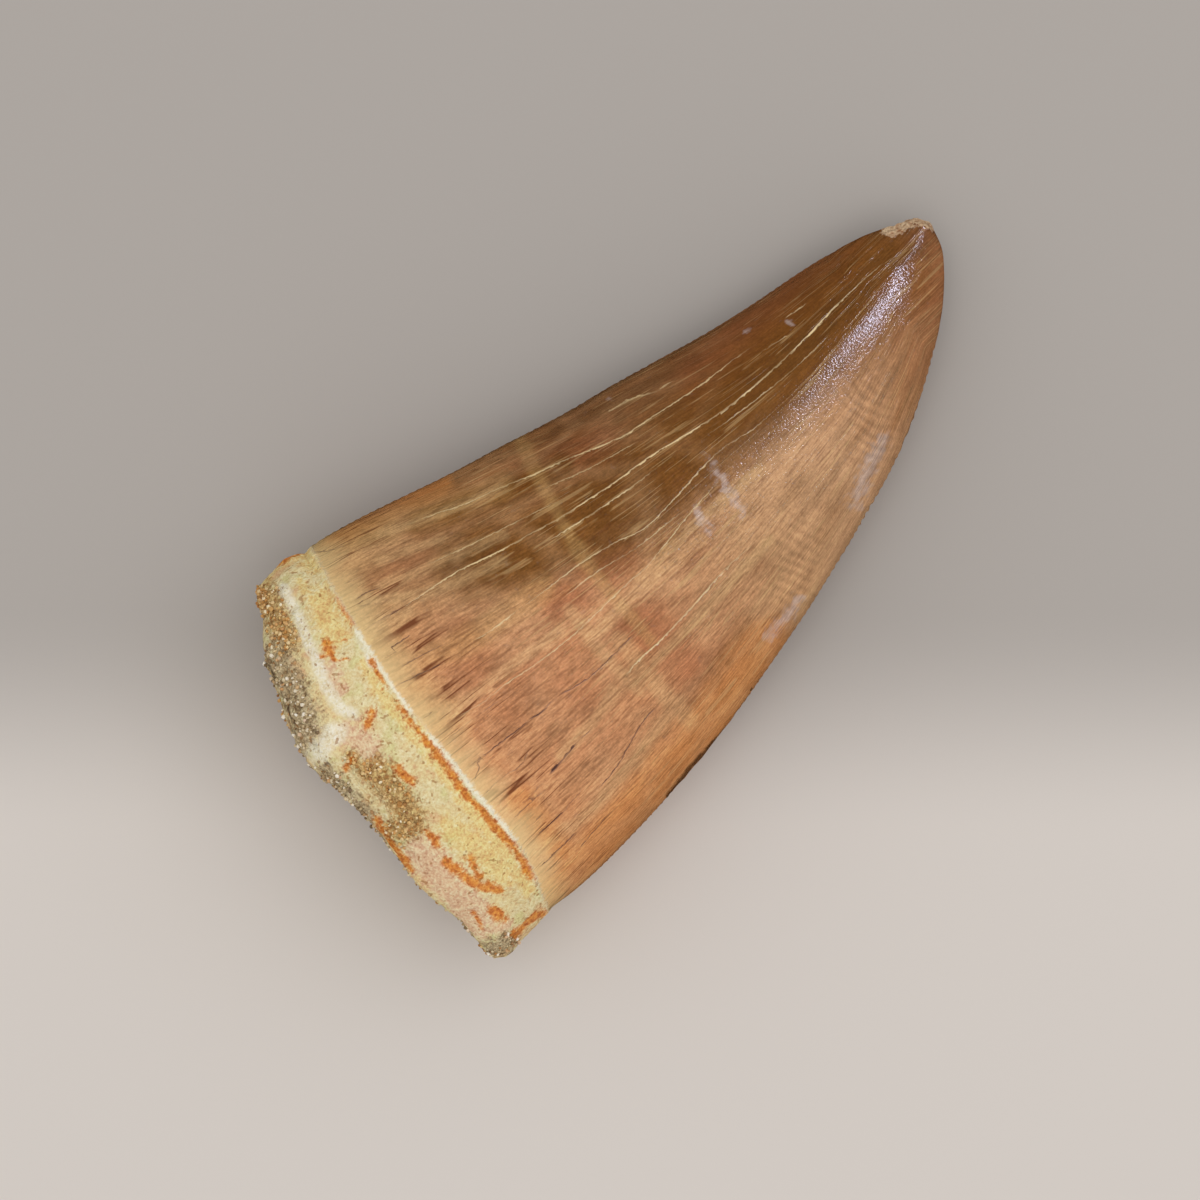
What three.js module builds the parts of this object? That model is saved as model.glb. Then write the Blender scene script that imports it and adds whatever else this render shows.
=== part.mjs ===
// A fossil mosasaur tooth: a flat-backed, curved crown with two cutting edges, on the broken
// stump of its root. It grew as one piece, so it is one closed solid.
//
// Millimetres. The tooth lies on its flatter face. +X runs from the broken root to the tip,
// +Y goes across to the hind cutting edge, and +Z is up, out of the rounded face.
//
// Shares: along is 0 at the broken end and 1 at the tip. Across is -1 at the fore cutting
// edge, 0 midway and +1 at the hind cutting edge.

import * as THREE from "three";
import { ImprovedNoise } from "three/addons/math/ImprovedNoise.js";

// The outline seen from above, as [x, y] points from the root towards the tip. The tip is
// worn off slantwise on its hind side.
const HIND_EDGE = [
  [4.8, 10.0], [6.2, 10.65], [7.4, 10.65], [8.8, 10.45], [12.5, 9.35], [18, 7.65],
  [24, 6.0], [30, 4.45], [35, 3.5], [38.5, 2.6], [40.3, 1.75], [41.1, 1.1],
];
const FORE_EDGE = [
  [0.8, -10.3], [3.5, -10.75], [8.2, -11.1], [14, -10.7], [20, -9.8], [26, -8.5],
  [31, -7.1], [35, -5.4], [38, -3.6], [40.1, -1.85], [41.2, -0.55], [41.5, 0.35],
];
// The broken end of the root, from the fore edge's first point to the hind edge's.
const BROKEN_END = [
  [0.8, -10.3], [0.65, -8.4], [0.4, -5.5], [0.95, -1.5], [0.75, 3.0], [1.75, 5.4],
  [3.1, 8.2], [4.8, 10.0],
];

// Heights above the resting plane at every tenth of the way from the root to the tip:
// along the crest of the rounded face, and along the two cutting edges.
const CREST_HEIGHTS = [11.0, 12.3, 12.15, 11.6, 10.9, 10.0, 9.0, 7.9, 6.7, 5.3, 3.6];
const EDGE_HEIGHTS = [4.9, 4.7, 4.4, 4.1, 3.8, 3.5, 3.2, 3.0, 2.9, 2.9, 2.9];

// The crest starts in the middle of the root and runs a little to the hind side of it.
const CREST_AT_ROOT = 0.01;
const CREST_BOW = 0.1;

// The rounded face is a full arch at the root. Towards the tip it turns into two flatter
// flanks that meet in a low rounded ridge along the crest.
const ARCH_AT_ROOT = 0.56; // power of the arch: 0.5 is an ellipse, 1 a parabola
const ARCH_AT_TIP = 0.78;
const RIDGE_HEIGHT = 0.04; // share of the face's height
const RIDGE_WIDTH = 0.24; // share of the way to the cutting edge
const RIDGE_STARTS = 0.55; // share along

// The flat strip of the lower face that the tooth lies on, as shares across and along.
const FLAT_HALF_WIDTH = 0.45;
const FLAT_MIDDLE = -0.04;
const FLAT_STARTS = 0.035;
const FLAT_ENDS = 0.7;
const FLANK_ROUNDING = 2.1; // power of the curve from the strip up to the cutting edges
const ROOT_LIFT = 0.9; // height of the lower face at the broken end
const TIP_LIFT = 2.2; // and at the tip

// The foot of the enamel: the root's collar stands out past it, with a groove between.
const ENAMEL_FOOT = 0.078; // share along
const STEP_WIDTH = 0.02;
const ROOT_SWELL = 0.26;
const GROOVE_DEPTH = 0.16;
const GROOVE_WIDTH = 0.012;

// Unevenness of the root, and the long shallow waves of the crown.
const ROOT_ROUGHNESS = 0.16;
const ROOT_GRAIN = 0.9; // lumps per mm
const CROWN_WAVES = 0.1;
const CROWN_WAVE_GRAIN = [0.16, 0.45]; // waves per mm along and across

// The break at the root: its outline, hollow and rough face, and its chipped upper rim.
const BREAK_REACH = 0.11; // share along over which the break's outline fades out
const BREAK_HOLLOW = 1.2;
const BREAK_BULGE = 1.8; // how far the break bows out between its two corners
const BREAK_ROUGHNESS = 0.5;
const BREAK_GRAIN = 0.6;
const RIM_LOSS = 0.8;
const RIM_REACH = 0.022;

// Lumps of sandy matrix cemented to the root, each as [x, y, radius, height].
const MATRIX_LUMPS = [
  [4.9, 10.0, 1.5, 0.45], [3.4, 7.4, 1.9, 0.4], [2.4, 4.6, 1.7, 0.5], [1.7, 2.2, 1.2, 0.3],
  [3.1, -0.6, 1.2, 0.4], [1.7, -2.4, 1.1, 0.35], [1.3, -9.9, 1.3, 0.7], [4.4, 6.0, 0.9, 0.25],
];
const MATRIX_ROUGHNESS = 0.9; // share of a lump's height
const MATRIX_GRAIN = 1.7;

const TIP_BLUNTNESS = 0.25; // how far the blunt point stands out past the last ring

const ROWS = 46; // rings of points from the broken end to the tip
const ROW_CROWDING = 0.075; // draws the rows closer together at the two ends
const RING = 68; // points round each ring, an even number
const END_RINGS = [0.9, 0.76, 0.58, 0.38, 0.18]; // smaller and smaller rings over the break

const noise = new ImprovedNoise();

function curveThrough(points) {
  return new THREE.SplineCurve(points.map(([x, y]) => new THREE.Vector2(x, y)));
}

function heightsAlong(heights) {
  return curveThrough(heights.map((z, i) => [i / (heights.length - 1), z]));
}

const hindEdge = curveThrough(HIND_EDGE);
const foreEdge = curveThrough(FORE_EDGE);
const brokenEnd = curveThrough(BROKEN_END);
const crestHeights = heightsAlong(CREST_HEIGHTS);
const edgeHeights = heightsAlong(EDGE_HEIGHTS);

function smooth(from, to, value) {
  return THREE.MathUtils.smoothstep(value, from, to);
}

// The place of a point in the outline. Near the root the rows bow out to follow the break.
function planPoint(along, across) {
  const share = (1 + across) / 2;
  const point = foreEdge.getPointAt(along).lerp(hindEdge.getPointAt(along), share);
  const straight = foreEdge.getPoint(0).lerp(hindEdge.getPoint(0), share);
  const bow = brokenEnd.getPointAt(share).sub(straight);
  const fade = (1 - smooth(0, BREAK_REACH, along)) ** 1.5;
  return point.addScaledVector(bow, fade);
}

function crestAcross(along) {
  return CREST_AT_ROOT + CREST_BOW * Math.sin(Math.PI * along);
}

// Height of the rounded face.
function upperHeight(along, across) {
  const crest = crestAcross(along);
  const side = across > crest ? (across - crest) / (1 - crest) : (crest - across) / (1 + crest);
  const power = THREE.MathUtils.lerp(ARCH_AT_ROOT, ARCH_AT_TIP, smooth(0.05, 0.75, along));
  const arch = Math.max(0, 1 - side * side) ** power;
  const ridge = RIDGE_HEIGHT * smooth(RIDGE_STARTS, 0.9, along);
  const form = (arch + ridge * Math.exp(-((side / RIDGE_WIDTH) ** 2))) / (1 + ridge);
  const edge = edgeHeights.getPoint(along).y;
  const lost = RIM_LOSS * (1 - smooth(0, RIM_REACH, along));
  return edge + form * (crestHeights.getPoint(along).y - lost - edge);
}

// Height of the flatter face: the flat strip, rounding up to the cutting edges.
function lowerHeight(along, across) {
  const beyond = Math.max(0, along - FLAT_ENDS) / (1 - FLAT_ENDS);
  const floor = ROOT_LIFT * (1 - smooth(0, FLAT_STARTS, along)) + TIP_LIFT * beyond ** 2;
  const off = Math.abs(across - FLAT_MIDDLE);
  const reach = across > FLAT_MIDDLE ? 1 - FLAT_MIDDLE : 1 + FLAT_MIDDLE;
  const side = Math.max(0, (off - FLAT_HALF_WIDTH) / (reach - FLAT_HALF_WIDTH));
  return floor + (edgeHeights.getPoint(along).y - floor) * side ** FLANK_ROUNDING;
}

// The slanted, hollow and rough face of the break. size is 1 at its rim and 0 in the middle.
function brokenFaceX(y, z, size) {
  const [foreX, foreY] = BROKEN_END[0];
  const [hindX, hindY] = BROKEN_END[BROKEN_END.length - 1];
  const share = (y - foreY) / (hindY - foreY);
  const slant = foreX + share * (hindX - foreX);
  const bulge = 4 * BREAK_BULGE * share * (1 - share);
  const hollow = BREAK_HOLLOW * (1 - size * size);
  return slant - bulge + hollow + BREAK_ROUGHNESS * noise.noise(5, y * BREAK_GRAIN, z * BREAK_GRAIN);
}

// How far the lumps of matrix stand out at a point.
function matrixHeight(x, y) {
  const rough = 1 + MATRIX_ROUGHNESS * noise.noise(x * MATRIX_GRAIN, y * MATRIX_GRAIN, 0.4);
  let out = 0;
  for (const [lumpX, lumpY, radius, height] of MATRIX_LUMPS) {
    const reach = Math.hypot(x - lumpX, y - lumpY) / radius;
    out += height * rough * Math.exp(-2 * reach * reach);
  }
  return out;
}

// How far the surface stands out of the plain form.
function relief({ x, y, z }, along, isUpper) {
  const root = 1 - smooth(ENAMEL_FOOT - 0.7 * STEP_WIDTH, ENAMEL_FOOT + 0.3 * STEP_WIDTH, along);
  const groove = Math.exp(-(((along - ENAMEL_FOOT) / GROOVE_WIDTH) ** 2));
  const rootNoise = noise.noise(x * ROOT_GRAIN, y * ROOT_GRAIN, 3.1);
  const crownNoise = noise.noise(x * CROWN_WAVE_GRAIN[0], y * CROWN_WAVE_GRAIN[1], 7.7);
  const edge = edgeHeights.getPoint(along).y;
  const shown = isUpper ? 1 : smooth(0.3 * edge, 0.95 * edge, z);
  return (
    root * (ROOT_SWELL + ROOT_ROUGHNESS * rootNoise) -
    groove * GROOVE_DEPTH +
    (1 - root) * CROWN_WAVES * crownNoise +
    shown * matrixHeight(x, y)
  );
}

function rowPosition(row) {
  const even = row / (ROWS - 1);
  return even - ROW_CROWDING * Math.sin(2 * Math.PI * even);
}

function centreOf(points) {
  const sum = new THREE.Vector3();
  points.forEach((point) => sum.add(point));
  return sum.divideScalar(points.length);
}

// Joins two rings of points with two triangles at every step.
function joinRings(faces, lower, upper) {
  for (let step = 0; step < RING; step += 1) {
    const next = (step + 1) % RING;
    faces.push(lower + step, lower + next, upper + next);
    faces.push(lower + step, upper + next, upper + step);
  }
}

// The two faces of the tooth: rings of points that start at the hind cutting edge, go over
// the rounded face to the fore edge and come back under the flatter face.
function addFlanks(points, spots, faces) {
  for (let row = 0; row < ROWS; row += 1) {
    const along = rowPosition(row);
    for (let step = 0; step < RING; step += 1) {
      const across = Math.cos((2 * Math.PI * step) / RING);
      const isUpper = step <= RING / 2;
      const z = isUpper ? upperHeight(along, across) : lowerHeight(along, across);
      const plan = planPoint(along, across);
      points.push(new THREE.Vector3(plan.x, plan.y, z));
      spots.push({ along, isUpper });
    }
    if (row > 0) {
      joinRings(faces, (row - 1) * RING, row * RING);
    }
  }
}

// The rough broken end: rings that shrink towards its middle.
function addBrokenEnd(points, faces) {
  const rim = points.slice(0, RING);
  const middle = centreOf(rim);
  let outer = 0;
  for (const size of END_RINGS) {
    const first = points.length;
    for (const rimPoint of rim) {
      const point = rimPoint.clone().lerp(middle, 1 - size);
      const face = brokenFaceX(point.y, point.z, size);
      point.x = THREE.MathUtils.lerp(face, rimPoint.x, smooth(0.5, 1, size));
      points.push(point);
    }
    joinRings(faces, first, outer);
    outer = first;
  }
  const hub = points.push(new THREE.Vector3(brokenFaceX(middle.y, middle.z, 0), middle.y, middle.z)) - 1;
  for (let step = 0; step < RING; step += 1) {
    faces.push(hub, outer + ((step + 1) % RING), outer + step);
  }
}

function addTip(points, faces) {
  const last = (ROWS - 1) * RING;
  const point = centreOf(points.slice(last, last + RING));
  point.x += TIP_BLUNTNESS;
  const tip = points.push(point) - 1;
  for (let step = 0; step < RING; step += 1) {
    faces.push(last + step, last + ((step + 1) % RING), tip);
  }
}

// Moves each point of the two faces out along its normal. The resting strip stays flat.
function addRelief(geometry, spots) {
  geometry.computeVertexNormals();
  const position = geometry.getAttribute("position");
  const normal = geometry.getAttribute("normal");
  const point = new THREE.Vector3();
  const out = new THREE.Vector3();
  spots.forEach(({ along, isUpper }, i) => {
    point.fromBufferAttribute(position, i);
    out.fromBufferAttribute(normal, i);
    const free = isUpper ? 1 : smooth(0, 1.5, point.z);
    point.addScaledVector(out, free * relief(point, along, isUpper));
    position.setXYZ(i, point.x, point.y, point.z);
  });
  geometry.computeVertexNormals();
}

// The origin goes to the middle of the bounding box's underside.
function standOnOrigin(geometry) {
  geometry.computeBoundingBox();
  const { min, max } = geometry.boundingBox;
  geometry.translate(-(min.x + max.x) / 2, -(min.y + max.y) / 2, -min.z);
}

function toothGeometry() {
  const points = [];
  const spots = []; // where each point of the two faces lies on them
  const faces = [];
  addFlanks(points, spots, faces);
  addBrokenEnd(points, faces);
  addTip(points, faces);
  const geometry = new THREE.BufferGeometry().setFromPoints(points);
  geometry.setIndex(faces);
  addRelief(geometry, spots);
  standOnOrigin(geometry);
  return geometry;
}

const enamel = new THREE.MeshStandardMaterial({ color: 0x9a6638, roughness: 0.35, metalness: 0 });
const tooth = new THREE.Mesh(toothGeometry(), enamel);
tooth.name = "mosasaur_tooth";

const group = new THREE.Group();
group.add(tooth);

export default group;
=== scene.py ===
"""A fossil mosasaur tooth with a broken root, lying on its flatter face on a pale floor.

Blender's lengths are metres. Lengths named _MM are millimetres, and places and lengths named
_PX are pixels of the photograph, which is 1200 pixels square and shows 20 of them per mm.
"""

import math

import bmesh
import bpy
import numpy as np
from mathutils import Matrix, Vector, noise


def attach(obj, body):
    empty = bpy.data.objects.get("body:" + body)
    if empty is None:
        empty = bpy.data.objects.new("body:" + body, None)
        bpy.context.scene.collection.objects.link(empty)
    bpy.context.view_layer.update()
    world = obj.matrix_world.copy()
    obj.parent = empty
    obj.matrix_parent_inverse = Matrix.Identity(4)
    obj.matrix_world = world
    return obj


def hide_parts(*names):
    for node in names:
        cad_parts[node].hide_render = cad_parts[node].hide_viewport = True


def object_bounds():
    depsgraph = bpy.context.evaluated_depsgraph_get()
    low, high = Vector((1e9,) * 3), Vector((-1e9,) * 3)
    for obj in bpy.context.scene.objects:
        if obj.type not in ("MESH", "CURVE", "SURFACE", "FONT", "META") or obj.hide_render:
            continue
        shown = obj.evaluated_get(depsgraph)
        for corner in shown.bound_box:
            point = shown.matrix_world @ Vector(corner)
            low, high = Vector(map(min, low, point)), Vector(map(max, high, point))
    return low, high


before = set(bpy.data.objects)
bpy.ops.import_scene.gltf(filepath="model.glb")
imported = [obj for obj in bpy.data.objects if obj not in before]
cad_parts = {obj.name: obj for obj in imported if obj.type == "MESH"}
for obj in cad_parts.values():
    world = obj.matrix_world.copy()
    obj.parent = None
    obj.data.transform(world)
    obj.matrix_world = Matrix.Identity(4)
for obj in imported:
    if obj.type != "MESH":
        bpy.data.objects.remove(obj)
cad_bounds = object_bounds()

# The camera. It looks straight down on the tooth, rolled so that the tip points to the upper
# right. It comes first, because the marks on the tooth are placed by what it sees.
PHOTO_SIDE_PX = 1200
PX_PER_MM = 20
MM = 0.001
ROLL = math.radians(44)
VIEW_CENTRE_MM = (-4.23, -1.35)
CAMERA_DISTANCE_MM = 500
EDGE_PLANE_MM = 4.0  # the mean height of the cutting edges, where the scale holds
LENS_MM = 300
SENSOR_MM = 36
CLIP_MM = (10, 10000)

image_right = np.array([math.cos(ROLL), -math.sin(ROLL)])
image_up = np.array([math.sin(ROLL), math.cos(ROLL)])

camera_data = bpy.data.cameras.new("camera")
camera_data.lens = LENS_MM
camera_data.sensor_width = SENSOR_MM
camera_data.clip_start, camera_data.clip_end = (distance * MM for distance in CLIP_MM)
camera = bpy.data.objects.new("camera", camera_data)
camera.location = Vector((*VIEW_CENTRE_MM, CAMERA_DISTANCE_MM + EDGE_PLANE_MM)) * MM
camera.rotation_euler = (0, 0, -ROLL)
bpy.context.scene.collection.objects.link(camera)
bpy.context.scene.camera = camera


def seen_at_px(places_mm):
    """The pixels of the photograph at which points of the tooth are seen."""
    from_axis = places_mm[:, :2] - np.array(VIEW_CENTRE_MM)
    depth = CAMERA_DISTANCE_MM + EDGE_PLANE_MM - places_mm[:, 2]
    scale = PX_PER_MM * CAMERA_DISTANCE_MM / depth
    across = PHOTO_SIDE_PX / 2 + scale * (from_axis @ image_right)
    down = PHOTO_SIDE_PX / 2 - scale * (from_axis @ image_up)
    return np.stack([across, down], axis=1)


# The tooth: a flat-backed crown of enamel with two cutting edges, on the broken stump of its
# dentine root. It grew as one piece, was buried in phosphate sand, and is now apatite stone.
# It starts as the CAD solid, joined into four-sided faces and subdivided, and is then carved.
EDGE_ANGLE = math.radians(34)
EDGE_STARTS_MM = -16.5  # the cutting edges are sharp from here to the tip
TIP_MM = 19.9
MERGE_MM = 0.001
FOUR_SIDED = math.radians(60)  # two triangles are joined where they meet at less than this
SUBDIVISIONS = 2

cad_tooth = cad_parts["mosasaur_tooth"]
tooth = bpy.data.objects.new("tooth", cad_tooth.data.copy())
bpy.context.scene.collection.objects.link(tooth)
bpy.ops.object.select_all(action="DESELECT")
bpy.context.view_layer.objects.active = tooth
tooth.select_set(True)
bpy.ops.object.mode_set(mode="EDIT")
bpy.ops.mesh.select_all(action="SELECT")
bpy.ops.mesh.remove_doubles(threshold=MERGE_MM * MM)
bpy.ops.mesh.tris_convert_to_quads(face_threshold=FOUR_SIDED, shape_threshold=FOUR_SIDED)
bpy.ops.mesh.customdata_custom_splitnormals_clear()
bpy.ops.object.mode_set(mode="OBJECT")

shape = bmesh.new()
shape.from_mesh(tooth.data)
crease = shape.edges.layers.float.new("crease_edge")
for edge in shape.edges:
    middle = (edge.verts[0].co + edge.verts[1].co) / 2 / MM
    if EDGE_STARTS_MM < middle.x < TIP_MM and edge.calc_face_angle(0) > EDGE_ANGLE:
        edge[crease] = 1
shape.to_mesh(tooth.data)
shape.free()

subdivision = tooth.modifiers.new("subdivision", "SUBSURF")
subdivision.levels = SUBDIVISIONS
subdivision.render_levels = SUBDIVISIONS
bpy.ops.object.modifier_apply(modifier=subdivision.name)

# The faces along the cutting edges are cut in three along the edge, for the serrations.
SERRATED_BAND = 8  # rows of faces on each side of the edge
SERRATION_CUTS = 2
shape = bmesh.new()
shape.from_mesh(tooth.data)
crease = shape.edges.layers.float["crease_edge"]
band = {edge for edge in shape.edges if edge[crease] > 0.5}
row = set(band)
for _ in range(SERRATED_BAND):
    following = set()
    for edge in row:
        for face in edge.link_faces:
            if len(face.verts) == 4:
                corners = set(edge.verts)
                following |= {e for e in face.edges if not corners & set(e.verts)}
    row = following - band
    band |= following
in_order = [edge for edge in shape.edges if edge in band]
bmesh.ops.subdivide_edges(shape, edges=in_order, cuts=SERRATION_CUTS)
on_edge = {v for edge in shape.edges if edge[crease] > 0.5 for v in edge.verts}
edge_corners = np.array([tuple(v.co / MM) for v in shape.verts if v in on_edge])
shape.to_mesh(tooth.data)
shape.free()


def places_of(mesh):
    """The corners of a mesh, in millimetres."""
    flat = np.empty(len(mesh.vertices) * 3)
    mesh.vertices.foreach_get("co", flat)
    return flat.reshape(-1, 3) / MM


def outward_of(mesh):
    """The direction that each corner of a mesh faces."""
    flat = np.empty(len(mesh.vertices) * 3)
    mesh.vertices.foreach_get("normal", flat)
    return flat.reshape(-1, 3)


def lumps(places, per_mm, seed):
    """Soft noise from -1 to 1 at each place. per_mm is its grain, in all or along x, y and z."""
    grained = places * np.array(per_mm) + seed
    return np.array([noise.noise(Vector(place)) for place in grained])


def eased(start, end, values):
    """0 before start and 1 after end, with a soft turn between them."""
    share = np.clip((values - start) / (end - start), 0, 1)
    return share * share * (3 - 2 * share)


def ridge(distance, centre, half_width):
    """1 at the centre, falling softly to 0 on either side of it."""
    return np.exp(-(((distance - centre) / half_width) ** 2))


# Where each corner lies: along the tooth, across between the cutting edges, and above or
# below them. The straightened tooth has the same girth all along, and the enamel's grain
# runs along it.
ROOT_END_MM = -20.77
LENGTH_MM = 41.5
LEAST_HALF_WIDTH_MM = 0.25
STRAIGHT_GIRTH_MM = 8.5  # for each radian round the tooth
FAN = 0.3  # how much more the hind side's grain opens, in each FAN_STEP_MM towards the root
FAN_STEP_MM = 22
FAN_REACH_MM = 30
MIDDLE_X_MM, MIDDLE_Y_MM = (-21, 21), (-0.5, 1.0)  # a line that parts the two cutting edges
EDGE_FAIR_MM = -12.5  # from here to the root's end each cutting edge is carried on straight
EDGE_RUN_MM = 3  # the stretch of the edge that gives its direction there

places = places_of(tooth.data)
outward = outward_of(tooth.data)
mid_edge = np.interp(edge_corners[:, 0], MIDDLE_X_MM, MIDDLE_Y_MM)
edge_lines = []
for side in (1, -1):
    line = edge_corners[side * (edge_corners[:, 1] - mid_edge) > 0]
    line = line[line[:, 0] > EDGE_FAIR_MM]
    line = line[np.argsort(line[:, 0])]
    start, further = line[0], line[np.searchsorted(line[:, 0], line[0, 0] + EDGE_RUN_MM)]
    back = (ROOT_END_MM - start[0]) / (further[0] - start[0])
    edge_lines.append(np.vstack([start + back * (further - start), line]))
hind_line, fore_line = edge_lines
hind_y, hind_z = (np.interp(places[:, 0], hind_line[:, 0], hind_line[:, i]) for i in (1, 2))
fore_y, fore_z = (np.interp(places[:, 0], fore_line[:, 0], fore_line[:, i]) for i in (1, 2))
half_width = np.maximum((hind_y - fore_y) / 2, LEAST_HALF_WIDTH_MM)
across = (places[:, 1] - (hind_y + fore_y) / 2) / half_width
edge_height = fore_z + (hind_z - fore_z) * (np.clip(across, -1, 1) + 1) / 2
above = (places[:, 2] - edge_height) / half_width
is_upper = above > 0
along = places[:, 0] - ROOT_END_MM
into_fan = np.clip(FAN_REACH_MM - along, 0, FAN_REACH_MM)
opening = 1 + FAN * into_fan / FAN_STEP_MM * (across > 0)
round_it = np.arccos(np.clip(across, -1, 1)) * np.where(is_upper, 1, -1)
girth = STRAIGHT_GIRTH_MM * (math.pi / 2 - round_it) / opening
straight = np.stack([along, girth, np.zeros(len(places))], axis=1)

# The foot of the enamel, where the crown ends and the root begins, by its pixels.
ENAMEL_FOOT_PX = [
    (296, 520), (312, 548), (334, 590), (352, 620), (372, 653), (393, 686), (420, 722),
    (450, 757), (478, 793), (505, 826), (527, 858), (543, 897), (552, 925),
]


def line_through(points, step_px=2.0):
    """Points every step along a smooth line through the given ones.

    One point alone makes a line half a pixel long.
    """
    points = np.array(points, float)
    if len(points) == 1:
        points = np.repeat(points, 2, axis=0) + [[0, 0], [0.5, 0]]
    if len(points) == 2:
        points = np.array([points[0], points.mean(axis=0), points[1]])
    ends = np.array([2 * points[0] - points[1], 2 * points[-1] - points[-2]])
    points = np.vstack([ends[:1], points, ends[1:]])
    line = []
    for a, b, c, d in zip(points, points[1:], points[2:], points[3:]):
        count = max(2, math.ceil(np.hypot(*(c - b)) / step_px))
        for t in np.arange(count) / count:
            cubic = (3 * b - a - 3 * c + d) * t**3 + (2 * a - 5 * b + 4 * c - d) * t**2
            line.append((cubic + (c - a) * t) / 2 + b)
    line.append(points[-2])
    return np.array(line)


SPOTS_AT_ONCE = 20000  # keeps the memory small


def nearest_on(line, spots):
    """For each spot: its distance from a line, how far to its side, and how far along it."""
    distance = np.zeros(len(spots))
    nearest = np.zeros(len(spots), int)
    for first in range(0, len(spots), SPOTS_AT_ONCE):
        some = slice(first, first + SPOTS_AT_ONCE)
        apart = spots[some, None] - line[None]
        squared = (apart**2).sum(axis=2)
        nearest[some] = squared.argmin(axis=1)
        distance[some] = np.sqrt(squared.min(axis=1))
    heading = np.gradient(line, axis=0)
    heading /= np.linalg.norm(heading, axis=1)[:, None]
    apart = spots - line[nearest]
    heading = heading[nearest]
    side = heading[:, 0] * apart[:, 1] - heading[:, 1] * apart[:, 0]
    return distance, side, nearest / (len(line) - 1)


seen = seen_at_px(places)
foot_distance, foot_side, _ = nearest_on(line_through(ENAMEL_FOOT_PX), seen)
past_foot = -np.sign(foot_side) * foot_distance / PX_PER_MM  # mm, positive on the crown

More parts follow.
